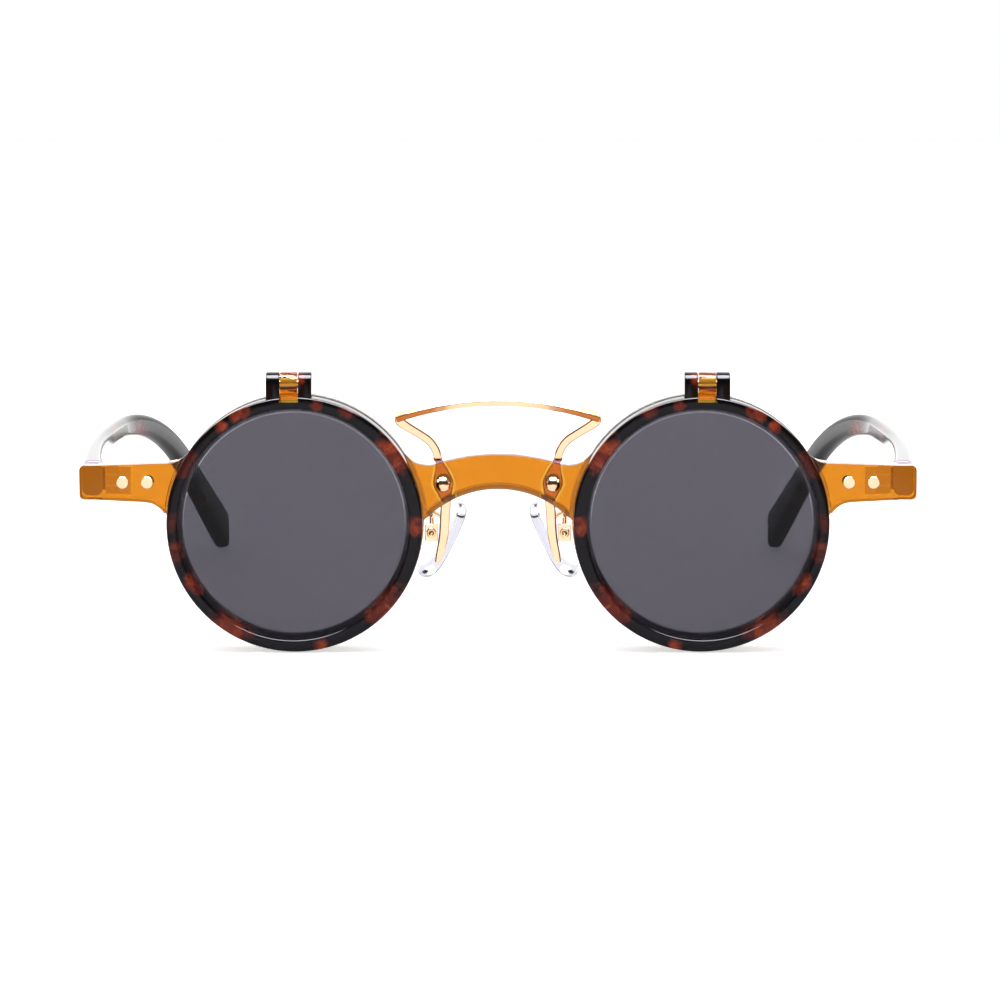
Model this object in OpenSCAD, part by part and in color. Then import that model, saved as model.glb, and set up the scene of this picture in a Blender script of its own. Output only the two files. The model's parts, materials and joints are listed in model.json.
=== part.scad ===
// Round flip-up sunglasses with a brow bar.
// The front faces -Y, +Z is up and +X is the wearer's left. The floor is z = 0.
// Inside the modules y is 0 where the flip rims meet the base rings. The whole model
// is moved along Y at the end, so that its bounding box is centred on the origin.

/* [Base front] */
// Outer radius of the two base rings
base_ring_r = 21.45; // [21:0.05:22]
// Width of the base rings' faces
base_ring_w = 2.15; // [2.1:0.05:2.6]
// Gap between the two base rings at the nose
nose_gap = 24.9; // [24.6:0.1:25.6]
// How far an end piece reaches past its ring
end_length = 14.65; // [14.2:0.05:16]
// Depth of the base rings, front to back
base_ring_depth = 3.2; // [3:0.1:3.8]
// How far the bridge and the end pieces stand in front of the base rings
face_stand = 2; // [1.5:0.1:2.6]
// Gap between a flip rim and the round pockets in the bridge and the end pieces
pocket_gap = 0.65; // [0.5:0.05:0.75]

/* [Bridge] */
// Height of the bridge's top edge above the rim centres
bridge_rise = 11.4; // [11:0.1:11.6]
// Height of the bridge in the middle
bridge_height = 5.8; // [5.2:0.1:6.2]
// Radius of the bridge's top edge
bridge_top_r = 34; // [32:1:38]
// Radius of the arch over the nose
arch_r = 17; // [16.6:0.1:17.4]
// Radius of the hollow curve from the bridge's top edge to a ring
bridge_fillet_r = 5; // [4.6:0.1:5.4]
// Width of the chamfer along the arch
arch_chamfer = 0.8; // [0.4:0.1:1]

/* [End pieces] */
// Height of an end piece at its outer end
end_height = 5.7; // [5.5:0.1:6.2]
// Height of the end pieces' middle above the rim centres
end_rise = 6.75; // [6.4:0.05:6.9]
// How much higher an end piece is, above and below, where it nears its ring
end_taper = 0.4; // [0.2:0.05:0.6]
// Radius of the hollow curves from an end piece to its ring
end_fillet_r = 4; // [3.5:0.1:4.4]
// Radius of the corners at the outer end
end_corner_r = 0.8; // [0.4:0.1:1.2]

/* [Flip rims] */
// How far a flip rim's edge lies inside its base ring's edge
flip_inset = 0.1; // [0.05:0.05:0.2]
// Depth of the flip rims, front to back
flip_depth = 5.2; // [5:0.1:5.8]
// Width of a flip rim's front face
flip_face_w = 2; // [1.9:0.05:2.1]
// Thickness of a flip rim's wall at its lens
flip_wall = 2.6; // [2.5:0.05:2.8]
// How far outward a flip rim's opening lies from the rim's own centre
opening_shift = 0.25; // [0:0.05:0.35]
// Width of the bevels on the front of a flip rim
flip_bevel = 0.3; // [0.2:0.05:0.4]
// Gap between a closed flip rim and its base ring
seat_gap = 0.1; // [0.05:0.05:0.3]

/* [Lenses] */
// Thickness of all four lenses
lens_t = 1.2; // [1:0.1:1.4]
// How deep the lenses stand in their grooves
lens_bite = 0.6; // [0.4:0.05:0.7]
// Play of the lenses in their grooves
lens_play = 0.03; // [0.02:0.01:0.05]
// How far the dark lenses lie behind the front faces of the flip rims
lens_recess = 3.3; // [3:0.1:3.5]
// How far the clear lenses lie behind the front faces of the base rings
clear_recess = 1; // [0.8:0.1:1.3]

/* [Flip hinges] */
// How far outward the hinges lie from the rim centres
flip_hinge_shift = 0.85; // [0.4:0.05:1.2]
// Height of the hinge axis above the top of a flip rim
flip_axis_rise = 2.1; // [2:0.05:2.3]
// Radius of the hinge knuckles
barrel_r = 1.95; // [1.8:0.05:2]
// Width of the middle knuckle, which belongs to the base front
middle_knuckle_w = 2.9; // [2.6:0.1:3.2]
// Width of each side knuckle, which belongs to the flip rim
side_knuckle_w = 2.25; // [2:0.05:2.5]
// Gap between neighbouring knuckles
knuckle_gap = 0.1; // [0.08:0.02:0.2]
// Radius of the hinge pin
flip_pin_r = 0.7; // [0.5:0.05:0.8]
// Radial play of the middle knuckle on the pin
pin_play = 0.05; // [0.03:0.01:0.08]
// Radial play of a pin, screw or rivet in a hole that holds it
tight_play = 0.02; // [0.01:0.01:0.03]
// Depth of the slot in the flip rim under the middle knuckle
slot_depth = 0.85; // [0.7:0.05:1]

/* [Brow bar] */
// Distance between the outer ends of the brow bar
bar_width = 34.2; // [33:0.2:35]
// Height of the bar's lower front edge above the rim centres, in the middle
bar_rise = 19.75; // [19:0.05:20.2]
// Height of the bar's front face
bar_face = 1; // [0.8:0.05:1.2]
// Depth of the bar, front to back
bar_depth = 2.2; // [1.8:0.1:2.6]
// How much the bar's top rises from front to back
bar_top_rise = 0.6; // [0.3:0.05:0.8]
// Radius of the bar's bow
bar_bow_r = 42; // [40:0.5:46]
// Angle between the plane of the bow and the upright
bar_bow_tilt = 33.7; // [30:0.5:36]
// Thickness of the two legs
leg_t = 1; // [0.8:0.05:1.1]
// Outer radius of a leg's two bends over the bridge
leg_bend_r = 0.85; // [0.5:0.05:1]
// Width of a leg above the bridge
leg_w = 1.4; // [1.2:0.05:1.6]
// Width of the eye that the bridge screw passes through
leg_eye_w = 3.5; // [3.2:0.1:3.8]
// Width of a leg's tapered end just below the bridge
leg_end_w = 1.7; // [1.4:0.05:1.9]
// How far the legs reach below the bridge screws
leg_reach = 14; // [13:0.1:15]
// Gap all round a leg in its recess in the bridge's back
leg_recess_gap = 0.42; // [0.3:0.02:0.5]

/* [Bridge screws] */
// Distance of the bridge screws from the middle
stud_x = 9.2; // [9:0.05:9.4]
// Height of the bridge screws above the rim centres
stud_rise = 6.45; // [6.2:0.05:6.6]
// Radius of the domed head
stud_head_r = 1.3; // [1.1:0.05:1.4]
// Height of the domed head
stud_head_h = 0.75; // [0.6:0.05:0.9]
// Radius of the screw's shank
stud_shank_r = 0.65; // [0.5:0.05:0.75]
// Distance across the corners of the nut
nut_w = 2.5; // [2.3:0.1:2.8]
// Thickness of the nut
nut_t = 0.8; // [0.6:0.05:0.9]

/* [Temple hinges] */
// Distance of the hinge axis from the outer end of the front
hinge_inset = 5; // [4.8:0.05:5.2]
// Distance of the hinge axis behind the base rings
hinge_setback = 1.75; // [1.7:0.05:2]
// Height of the hinge
hinge_height = 4.6; // [4.2:0.1:5]
// Radius of the hinge barrels
hinge_barrel_r = 1.2; // [1.1:0.05:1.25]
// Height of the temple's barrel
temple_barrel_h = 1.8; // [1.4:0.1:2]
// Gap between neighbouring barrels
barrel_gap = 0.08; // [0.06:0.02:0.12]
// Thickness of the hinge leaves
leaf_t = 1; // [0.8:0.05:1.1]
// Length of the leaf behind an end piece, from the hinge axis
front_leaf_length = 3.3; // [3.2:0.1:4]
// Length of the leaf on a temple, from the hinge axis
temple_leaf_length = 12; // [10:0.5:16]
// Radius of the hinge screw
hinge_screw_r = 0.6; // [0.5:0.05:0.65]
// Radius of the hinge screw's head
hinge_screw_head_r = 1; // [0.9:0.05:1.1]
// Distance of the outer rivet from the outer end of the front
rivet_inset = 7.2; // [7:0.1:7.4]
// Distance between the two rivets of one end piece
rivet_pitch = 4.1; // [3.8:0.1:4.3]
// Radius of a rivet's head
rivet_head_r = 1; // [0.8:0.05:1.1]
// Radius of a rivet's shank
rivet_shank_r = 0.6; // [0.5:0.05:0.7]

/* [Temples] */
// Distance from the front end of a temple to its tip, along Y
temple_reach = 130.6; // [126:0.2:136]
// Thickness of a temple at the hinge
temple_front_t = 3.5; // [3.3:0.1:3.7]
// Thickness of a temple in the middle
temple_waist_t = 2.5; // [2.4:0.1:2.9]
// Thickness of a temple at the tip
temple_tip_t = 3.2; // [2.8:0.1:3.6]
// Height of a temple at the hinge
temple_front_h = 5.7; // [5.4:0.1:6]
// Height of a temple in the middle
temple_waist_h = 4; // [3.7:0.1:4.4]
// How far a temple bows outward
temple_bow = 3.7; // [3:0.1:4.2]
// Where the bow and the waist are, as a distance from the front end
waist_distance = 58.6; // [54:0.2:62]
// Where the temple's top edge starts to bend down, from the front end
bend_distance = 86.6; // [84:0.2:88]
// Radius of the bend, along the top edge
bend_r = 42; // [40:0.5:43]
// How far ahead of the top edge the lower edge starts to bend
bend_lead = 1.6; // [1:0.1:2]
// Slope of the drop behind the ear, from level
drop_angle = 39.6; // [39:0.1:40.6]
// Slope of the lower edge there, from level
heel_angle = 44; // [43.6:0.1:44.4]
// How far inward the tip turns, from straight back
tip_turn = 11.9; // [10:0.1:13]
// Where the tip starts to turn inward, from the front end
turn_distance = 79.6; // [77:0.2:82]
// Gap between a temple's front end and its end piece
butt_gap = 0.2; // [0.15:0.05:0.3]
// Width of the metal core in a temple
core_t = 1; // [0.8:0.05:1.1]
// Height of the metal core in a temple
core_h = 1.4; // [1.2:0.1:1.6]
// How far the core reaches back from the front end
core_reach = 84; // [70:1:86]
// Play round the core
core_play = 0.03; // [0.02:0.01:0.05]

/* [Nose pads] */
// Distance of a pad box from the middle
pad_box_x = 11.3; // [11.2:0.05:11.5]
// Distance of a pad box behind the base rings' front
pad_box_y = 6.3; // [6.2:0.1:6.8]
// Height of a pad box below the rim centres
pad_box_drop = 2.55; // [2.3:0.05:2.8]
// Height of a pad box
pad_box_h = 2.9; // [2.7:0.1:3.1]
// Distance between the outer faces of a pad box's two cheeks
pad_box_depth = 1.8; // [1.7:0.05:2]
// Thickness of a pad box's walls
pad_box_wall = 0.35; // [0.3:0.05:0.4]
// Radius of the pad screw
pad_screw_r = 0.4; // [0.35:0.05:0.45]
// Radius of the pad screw's head
pad_screw_head_r = 0.85; // [0.75:0.05:0.95]
// Radius of the pad core's eye
pad_eye_r = 0.68; // [0.65:0.01:0.7]
// Radius of the pad arm's wire
arm_r = 0.45; // [0.4:0.05:0.5]
// Height of a nose pad
pad_h = 13.4; // [12:0.2:14]
// Width of a nose pad
pad_w = 7; // [6.4:0.1:7.4]
// Thickness of a nose pad
pad_t = 1.7; // [1.6:0.05:1.8]
// How far a pad turns to face backward
pad_splay = 28; // [26:0.5:32]
// How far a pad leans in at the top
pad_lean = 28; // [25:0.5:30]
// Distance from a pad's middle plane to the middle of its box
pad_standoff = 2.95; // [2.9:0.05:3.1]
// How far a pad's middle lies below its box's middle, along the pad
pad_low = 0.6; // [0:0.1:1]
// How far a pad's middle lies behind its box's middle, across the pad
pad_back = 0.9; // [0.4:0.1:1.2]

/* [Hidden] */
$fn = 96;

// Rims
rim_x = base_ring_r + nose_gap / 2;
rim_z = base_ring_r;
base_opening_r = base_ring_r - base_ring_w;
flip_r = base_ring_r - flip_inset;
flip_opening_r = flip_r - flip_face_w;
flip_throat_r = flip_r - flip_wall;
pocket_r = flip_r + pocket_gap;
flip_front_y = -(seat_gap + flip_depth);
opening_x = rim_x + opening_shift;
dark_lens_r = flip_throat_r + lens_bite;
dark_lens_y = flip_front_y + lens_recess;
clear_lens_r = base_opening_r + lens_bite;

// Bridge
bridge_top_z = rim_z + bridge_rise;
bridge_low_z = bridge_top_z - bridge_height;
bridge_fillet = circles_meet(
    [0, bridge_top_z - bridge_top_r], bridge_top_r + bridge_fillet_r,
    [rim_x, rim_z], base_ring_r + bridge_fillet_r
);

// End pieces
end_x = rim_x + base_ring_r + end_length;
end_z = rim_z + end_rise;
end_top_z = end_z + end_height / 2 + end_taper;
end_low_z = end_z - end_height / 2 - end_taper;
end_square = 2.5;

// Flip hinges
flip_hinge_x = rim_x + flip_hinge_shift;
flip_hinge_y = flip_front_y + flip_bevel + barrel_r;
flip_hinge_z = rim_z + flip_r + flip_axis_rise;
slot_floor_z = rim_z + flip_r - slot_depth;
neck_low_z = slot_floor_z + 0.3;
knuckle_span = middle_knuckle_w / 2 + knuckle_gap + side_knuckle_w;

// Brow bar
bar_half = bar_width / 2;
bar_front_y = -3.6;
bar_z = rim_z + bar_rise;
bar_bow_angle = asin((bar_half - 0.2) / bar_bow_r);
bar_bow_sag = bar_bow_r * (1 - cos(bar_bow_angle));
bar_end_y = bar_front_y + bar_bow_sag * sin(bar_bow_tilt);
bar_end_z = bar_z - bar_bow_sag * cos(bar_bow_tilt);
stud_z = rim_z + stud_rise;
leg_shelf_z = bridge_top_z - bridge_top_r + sqrt(pow(bridge_top_r, 2) - pow(stud_x, 2)) + 0.15 + leg_t;
leg_back_y = 1.7;
leg_recess_y = leg_back_y - 0.1;
leg_end_z = stud_z - leg_reach;

// Temple hinges
hinge_x = end_x - hinge_inset;
hinge_y = base_ring_depth + hinge_setback;
hinge_low_z = end_z - hinge_height / 2;
hinge_top_z = end_z + hinge_height / 2;
barrel_low_z = end_z - temple_barrel_h / 2;
barrel_top_z = end_z + temple_barrel_h / 2;

// Temples
temple_y = base_ring_depth + butt_gap;
temple_end_y = temple_y + temple_reach;
temple_top_z = end_z + temple_front_h / 2 + 0.25;
temple_step = 3;
temple_leaf_y = hinge_y + hinge_barrel_r + 0.45;
temple_leaf_h = hinge_height - 0.8;
leaf_tab_y = hinge_y + 0.42 * temple_leaf_length;
leaf_tab_l = 0.25 * temple_leaf_length;
core_z = temple_top_z - temple_waist_h / 2;
core_y = temple_y + 3.5;

// Nose pads
pad_box_z = rim_z - pad_box_drop;
pad_box_w = 2.2;
pad_toward = [-cos(pad_lean) * cos(pad_splay), cos(pad_lean) * sin(pad_splay), -sin(pad_lean)];
pad_across = [sin(pad_splay), cos(pad_splay), 0];
pad_down = [sin(pad_lean) * cos(pad_splay), -sin(pad_lean) * sin(pad_splay), -cos(pad_lean)];
pad_centre = [pad_box_x, pad_box_y, pad_box_z]
    + pad_standoff * pad_toward + pad_low * pad_down + pad_back * pad_across;
arm_z = pad_box_z + pad_box_h / 2;

// Room from the foremost and rearmost points to the origin
y_shift = -(flip_front_y + temple_end_y) / 2;

gold = "goldenrod";
amber = "darkorange";
tortoise = [0.2, 0.1, 0.07];
smoke = [0.25, 0.25, 0.28, 0.8];
clear = [0.85, 0.9, 0.95, 0.5];
steel = "silver";

// The point to the left of the line from p to q that lies rp from p and rq from q
function circles_meet(p, rp, q, rq) =
    let (
        d = norm(q - p),
        u = (q - p) / d,
        a = (d * d + rp * rp - rq * rq) / (2 * d),
        h = sqrt(rp * rp - a * a)
    ) p + a * u + h * [-u.y, u.x];

// The point of a circle that faces another point
function toward(centre, r, target) = centre + r * (target - centre) / norm(target - centre);

// How far a line has dropped at distance s past the start of a bend of radius r,
// when it runs straight again at the given slope after the bend
function bend_drop(s, r, slope) =
    s <= 0 ? 0
    : s < r * sin(slope) ? r - sqrt(r * r - s * s)
    : r * (1 - cos(slope)) + (s - r * sin(slope)) * tan(slope);

function ease(t) = let (u = max(0, min(1, t))) u * u * (3 - 2 * u);

// The temple's edges at distance s from its front end
function temple_outer(s) =
    end_x + temple_bow * (1 - pow((s - waist_distance) / waist_distance, 2))
    - bend_drop(s - turn_distance, bend_r, tip_turn);
function temple_thick(s) =
    temple_waist_t + (temple_front_t - temple_waist_t) * (1 - ease(s / waist_distance))
    + (temple_tip_t - temple_waist_t) * ease((s - bend_distance) / (temple_reach - bend_distance));
function temple_inner(s) = temple_outer(s) - temple_thick(s);
function temple_top(s) = temple_top_z - bend_drop(s - bend_distance, bend_r, drop_angle);
function temple_low(s) = max(0,
    temple_top_z - temple_waist_h - (temple_front_h - temple_waist_h) * (1 - ease(s / waist_distance))
    - bend_drop(s - bend_distance + bend_lead, bend_r, heel_angle));

// A smooth curve through points, each a list of numbers, with n steps from point to point
function through(points, n) = [
    for (i = [0 : len(points) - 2], k = [0 : n - 1])
        let (
            p0 = points[max(0, i - 1)],
            p1 = points[i],
            p2 = points[i + 1],
            p3 = points[min(len(points) - 1, i + 2)],
            t = k / n
        ) p1 + t * (p2 - p0) / 2 + t * t * (p0 - 2.5 * p1 + 2 * p2 - p3 / 2)
          + t * t * t * (1.5 * p1 - p0 / 2 - 1.5 * p2 + p3 / 2),
    points[len(points) - 1]
];

// The two long edges of a ribbon of varying width: each point is [x, z, width]
function ribbon_side(c, side) = [
    for (i = [0 : len(c) - 1])
        let (
            a = c[max(0, i - 1)],
            b = c[min(len(c) - 1, i + 1)],
            d = [b.x - a.x, b.y - a.y],
            n = [-d.y, d.x] / norm(d)
        ) [c[i].x, c[i].y] + side * (c[i].z / 2) * n
];

// A quarter of a circle from the given angle on
function quarter(centre, r, start) = [for (a = [0 : 15 : 90]) centre + r * [cos(start + a), sin(start + a)]];

function reversed(list) = [for (i = [len(list) - 1 : -1 : 0]) list[i]];

// The middle line of a brow bar leg in front view, with its width at each point:
// from the bar's end, over the bridge, round the screw and down to the tapered end
leg_points = [
    [bar_half - 0.9, bar_end_z + 0.9, leg_w + 0.2],
    [bar_half - 1.05, bar_end_z + 0.1, leg_w + 0.15],
    [bar_half - 1.95, bar_end_z - 0.8, leg_w + 0.1],
    [stud_x + 4.1, leg_shelf_z + 3.7, leg_w],
    [stud_x + 2.3, leg_shelf_z + 2.45, leg_w],
    [stud_x + 1.2, leg_shelf_z + 0.85, leg_w],
    [stud_x + 0.75, leg_shelf_z - 0.8, leg_w],
    [stud_x + 0.55, leg_shelf_z - 1.8, leg_w + 0.1],
    [stud_x + 0.3, stud_z + 1.9, leg_w + 0.95],
    [stud_x, stud_z, leg_eye_w],
    [stud_x - 0.3, stud_z - 1.8, leg_end_w + 0.7],
    [stud_x - 0.5, stud_z - 0.22 * leg_reach, leg_end_w],
    [stud_x - 0.3, stud_z - 0.35 * leg_reach, leg_end_w],
    [stud_x - 0.05, stud_z - 0.64 * leg_reach, leg_end_w - 0.1],
    [stud_x + 0.65, stud_z - 0.87 * leg_reach, leg_end_w - 0.3],
    [stud_x + 1.2, leg_end_z + 0.3, leg_end_w - 0.8],
];

// Shapes drawn in the front view (x, z) and in the side view (y, z)
module slab(y0, y1) {
    translate([0, y1, 0]) rotate([90, 0, 0]) linear_extrude(y1 - y0) children();
}
module bar_along_x(x0, x1) {
    translate([x0, 0, 0]) rotate([90, 0, 90]) linear_extrude(x1 - x0) children();
}
module rod_y(x, z, r, y0, y1) {
    translate([x, y1, z]) rotate([90, 0, 0]) cylinder(r = r, h = y1 - y0);
}
module cone_y(x, z, r_front, r_back, y0, y1) {
    translate([x, y1, z]) rotate([90, 0, 0]) cylinder(r1 = r_back, r2 = r_front, h = y1 - y0);
}
module wire(a, b, r) {
    d = b - a;
    translate(a) rotate([0, acos(d.z / norm(d)), atan2(d.y, d.x)]) cylinder(r = r, h = norm(d));
}

// The +X side is drawn, and the other side is its mirror image
module left_side() {
    translate([0, y_shift, 0]) children();
}
module right_side() {
    mirror([1, 0, 0]) left_side() children();
}
module both_sides() {
    left_side() children();
    right_side() children();
}

// A hollow corner between an edge and a ring. Its circle is a hair larger than the
// fillet, so that it crosses the ring in place of only touching it.
module hollow_corner(line_point, fillet, r) {
    difference() {
        polygon([line_point, fillet, toward([rim_x, rim_z], base_ring_r, fillet), [rim_x, rim_z]]);
        translate(fillet) circle(r = r + 0.02);
    }
}

module bridge_half_outline() {
    top_centre = [0, bridge_top_z - bridge_top_r];
    difference() {
        union() {
            intersection() {
                translate(top_centre) circle(r = bridge_top_r, $fn = 256);
                translate([0, rim_z - 1]) square([rim_x - base_opening_r, bridge_rise + 2]);
            }
            hollow_corner(toward(top_centre, bridge_top_r, bridge_fillet), bridge_fillet, bridge_fillet_r);
        }
        translate([0, bridge_low_z - arch_r]) circle(r = arch_r, $fn = 192);
    }
}

module end_outline() {
    reach = base_ring_r + end_fillet_r;
    upper = end_top_z + end_fillet_r;
    lower = end_low_z - end_fillet_r;
    upper_fillet = [rim_x + sqrt(pow(reach, 2) - pow(upper - rim_z, 2)), upper];
    lower_fillet = [rim_x + sqrt(pow(reach, 2) - pow(lower - rim_z, 2)), lower];
    difference() {
        polygon([
            [rim_x, rim_z],
            [upper_fillet.x, end_top_z],
            [end_x - end_square, end_z + end_height / 2],
            [end_x, end_z + end_height / 2],
            [end_x, end_z - end_height / 2],
            [end_x - end_square, end_z - end_height / 2],
            [lower_fillet.x, end_low_z],
        ]);
        for (s = [-1, 1])
            translate([end_x - end_corner_r, end_z + s * (end_height / 2 - end_corner_r)])
                difference() {
                    translate([0, s > 0 ? 0 : -2 * end_corner_r]) square(2 * end_corner_r);
                    circle(r = end_corner_r);
                }
    }
    hollow_corner([upper_fillet.x, end_top_z], upper_fillet, end_fillet_r);
    hollow_corner([lower_fillet.x, end_low_z], lower_fillet, end_fillet_r);
}

module leg_outline(gap) {
    widened = [for (p = leg_points) [p.x, p.y, p.z + 2 * gap]];
    c = through(widened, 4);
    polygon(concat(ribbon_side(c, 1), reversed(ribbon_side(c, -1))));
}

module middle_knuckle_outline() {
    ring_top = rim_z + base_ring_r;
    translate([flip_hinge_y, flip_hinge_z]) circle(r = barrel_r);
    polygon([
        [flip_hinge_y, flip_hinge_z + barrel_r],
        [0, flip_hinge_z + barrel_r - 0.6],
        [base_ring_depth - 0.3, ring_top + 1],
        [base_ring_depth - 0.3, ring_top - 1],
        [0, ring_top - 1],
        [0, neck_low_z],
        [flip_hinge_y, neck_low_z],
    ]);
}

module half_front_frame() {
    difference() {
        union() {
            difference() {
                slab(-face_stand, base_ring_depth) {
                    bridge_half_outline();
                    end_outline();
                }
                rod_y(rim_x, rim_z, pocket_r, -face_stand - 1, 0);
            }
            rod_y(rim_x, rim_z, base_ring_r, 0, base_ring_depth);
            bar_along_x(flip_hinge_x - middle_knuckle_w / 2, flip_hinge_x + middle_knuckle_w / 2)
                middle_knuckle_outline();
        }
        rod_y(rim_x, rim_z, base_opening_r, -face_stand - 1, base_ring_depth + 1);
        rod_y(rim_x, rim_z, clear_lens_r + lens_play, clear_recess - lens_play, clear_recess + lens_t + lens_play);
        cone_y(0, bridge_low_z - arch_r, arch_r + arch_chamfer, arch_r, -face_stand, -face_stand + arch_chamfer);
        translate([flip_hinge_x - knuckle_span, flip_hinge_y, flip_hinge_z]) rotate([0, 90, 0])
            cylinder(r = flip_pin_r + pin_play, h = 2 * knuckle_span);
        slab(leg_recess_y, base_ring_depth + 1) leg_outline(leg_recess_gap);
        rod_y(stud_x, stud_z, stud_shank_r + tight_play, -face_stand - 1, leg_recess_y + 1);
        for (k = [0, 1]) {
            x = end_x - rivet_inset - k * rivet_pitch;
            rod_y(x, end_z, rivet_shank_r + tight_play, -face_stand - 1, base_ring_depth + 1);
            rod_y(x, end_z, rivet_head_r + tight_play, -face_stand - 1, -face_stand + 0.3);
        }
    }
}

module front_frame() {
    color(amber) both_sides() half_front_frame();
}

module clear_lens() {
    color(clear) rod_y(rim_x, rim_z, clear_lens_r, clear_recess, clear_recess + lens_t);
}

module dark_lens() {
    color(smoke) rod_y(opening_x, rim_z, dark_lens_r, dark_lens_y, dark_lens_y + lens_t);
}

module side_knuckle_outline() {
    translate([flip_hinge_y, flip_hinge_z]) circle(r = barrel_r);
    translate([flip_hinge_y - barrel_r, slot_floor_z]) square([2 * barrel_r, flip_hinge_z - slot_floor_z]);
}

module flip_rim() {
    bevel_y = flip_front_y + flip_bevel;
    color(tortoise) difference() {
        union() {
            rod_y(rim_x, rim_z, flip_r, bevel_y, -seat_gap);
            cone_y(rim_x, rim_z, flip_r - flip_bevel, flip_r, flip_front_y, bevel_y);
            for (s = [-1, 1])
                translate([s * (middle_knuckle_w / 2 + knuckle_gap + side_knuckle_w / 2), 0, 0])
                    bar_along_x(flip_hinge_x - side_knuckle_w / 2, flip_hinge_x + side_knuckle_w / 2)
                        side_knuckle_outline();
        }
        cone_y(opening_x, rim_z, flip_opening_r, flip_opening_r - flip_bevel, flip_front_y, bevel_y);
        cone_y(opening_x, rim_z, flip_opening_r - flip_bevel, flip_throat_r, bevel_y, dark_lens_y);
        rod_y(opening_x, rim_z, dark_lens_r + lens_play, dark_lens_y - lens_play, dark_lens_y + lens_t + lens_play);
        rod_y(opening_x, rim_z, flip_throat_r, dark_lens_y, 1);
        translate([flip_hinge_x - middle_knuckle_w / 2 - knuckle_gap, flip_front_y - 1, slot_floor_z])
            cube([middle_knuckle_w + 2 * knuckle_gap, flip_depth + 2, 3 * barrel_r]);
        translate([flip_hinge_x - knuckle_span - 1, flip_hinge_y, flip_hinge_z]) rotate([0, 90, 0])
            cylinder(r = flip_pin_r + tight_play, h = 2 * knuckle_span + 2);
    }
}

module flip_pin() {
    color(gold) translate([flip_hinge_x - knuckle_span + 0.05, flip_hinge_y, flip_hinge_z])
        rotate([0, 90, 0]) cylinder(r = flip_pin_r, h = 2 * knuckle_span - 0.1);
}

// A point of the bar's section, given by its depth and height, in the plane of the bow
function bar_section_point(y, z) = [
    bar_bow_r - y * sin(bar_bow_tilt) + z * cos(bar_bow_tilt),
    y * cos(bar_bow_tilt) + z * sin(bar_bow_tilt),
];

module brow_beam() {
    centre_y = bar_front_y + bar_bow_r * sin(bar_bow_tilt);
    centre_z = bar_z - bar_bow_r * cos(bar_bow_tilt);
    translate([0, centre_y + y_shift, centre_z]) rotate([bar_bow_tilt - 90, 0, 0])
        rotate([0, 0, -90 - bar_bow_angle]) rotate_extrude(angle = 2 * bar_bow_angle, $fn = 256)
            polygon([
                bar_section_point(0, 0),
                bar_section_point(0, bar_face),
                bar_section_point(bar_depth, bar_face + bar_top_rise),
                bar_section_point(bar_depth, 0.3),
            ]);
}

module brow_leg() {
    difference() {
        intersection() {
            slab(bar_end_y - 1, leg_back_y + 2) leg_outline(0);
            bar_along_x(0, bar_half + 2) polygon(concat(
                [[bar_end_y, bar_z]],
                quarter([bar_end_y, leg_shelf_z - leg_t] + leg_bend_r * [1, 1], leg_bend_r, 180),
                [
                    [leg_back_y, leg_shelf_z - leg_t],
                    [leg_back_y, leg_end_z - 1],
                    [leg_back_y + leg_t, leg_end_z - 1],
                ],
                quarter([leg_back_y + leg_t, leg_shelf_z] - leg_bend_r * [1, 1], leg_bend_r, 0),
                [[bar_end_y + leg_t, leg_shelf_z], [bar_end_y + leg_t, bar_z]]
            ));
        }
        rod_y(stud_x, stud_z, stud_shank_r + tight_play, leg_back_y - 1, leg_back_y + 2);
    }
}

module brow_bar() {
    color(gold) {
        brow_beam();
        both_sides() brow_leg();
    }
}

module bridge_screw() {
    sphere_r = (stud_head_r * stud_head_r + stud_head_h * stud_head_h) / (2 * stud_head_h);
    intersection() {
        translate([stud_x, -face_stand - stud_head_h + sphere_r, stud_z]) sphere(r = sphere_r);
        rod_y(stud_x, stud_z, stud_head_r + 1, -face_stand - stud_head_h - 1, -face_stand);
    }
    rod_y(stud_x, stud_z, stud_shank_r, -face_stand - 0.1, leg_back_y + leg_t + nut_t + 0.15);
}

module bridge_nut() {
    nut_y = leg_back_y + leg_t;
    difference() {
        translate([stud_x, nut_y + nut_t, stud_z]) rotate([90, 0, 0]) cylinder(d = nut_w, h = nut_t, $fn = 6);
        rod_y(stud_x, stud_z, stud_shank_r + tight_play, nut_y - 1, nut_y + nut_t + 1);
    }
}

module end_rivet(k) {
    x = end_x - rivet_inset - k * rivet_pitch;
    back = base_ring_depth + (k == 0 ? leaf_t : 0);
    rod_y(x, end_z, rivet_head_r, -face_stand - 0.08, -face_stand + 0.3);
    rod_y(x, end_z, rivet_shank_r, -face_stand, back + 0.2);
    rod_y(x, end_z, rivet_shank_r + 0.25, back, back + 0.3);
}

module front_hinge() {
    leaf_x = hinge_x - front_leaf_length;
    barrel_side = hinge_x - hinge_barrel_r - 0.2;
    color(steel) difference() {
        union() {
            translate([leaf_x, base_ring_depth, hinge_low_z])
                cube([barrel_side - leaf_x, leaf_t, hinge_height]);
            for (z = [hinge_low_z, barrel_top_z + barrel_gap]) {
                h = (hinge_height - temple_barrel_h) / 2 - barrel_gap;
                translate([hinge_x, hinge_y, z]) cylinder(r = hinge_barrel_r, h = h);
                translate([barrel_side - 1, hinge_y - hinge_barrel_r, z])
                    cube([hinge_x - barrel_side + 1, hinge_barrel_r, h]);
            }
        }
        translate([hinge_x, hinge_y, hinge_low_z - 1]) cylinder(r = hinge_screw_r + tight_play, h = hinge_height + 2);
        rod_y(end_x - rivet_inset, end_z, rivet_shank_r + tight_play, 0, hinge_y);
    }
}

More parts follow.
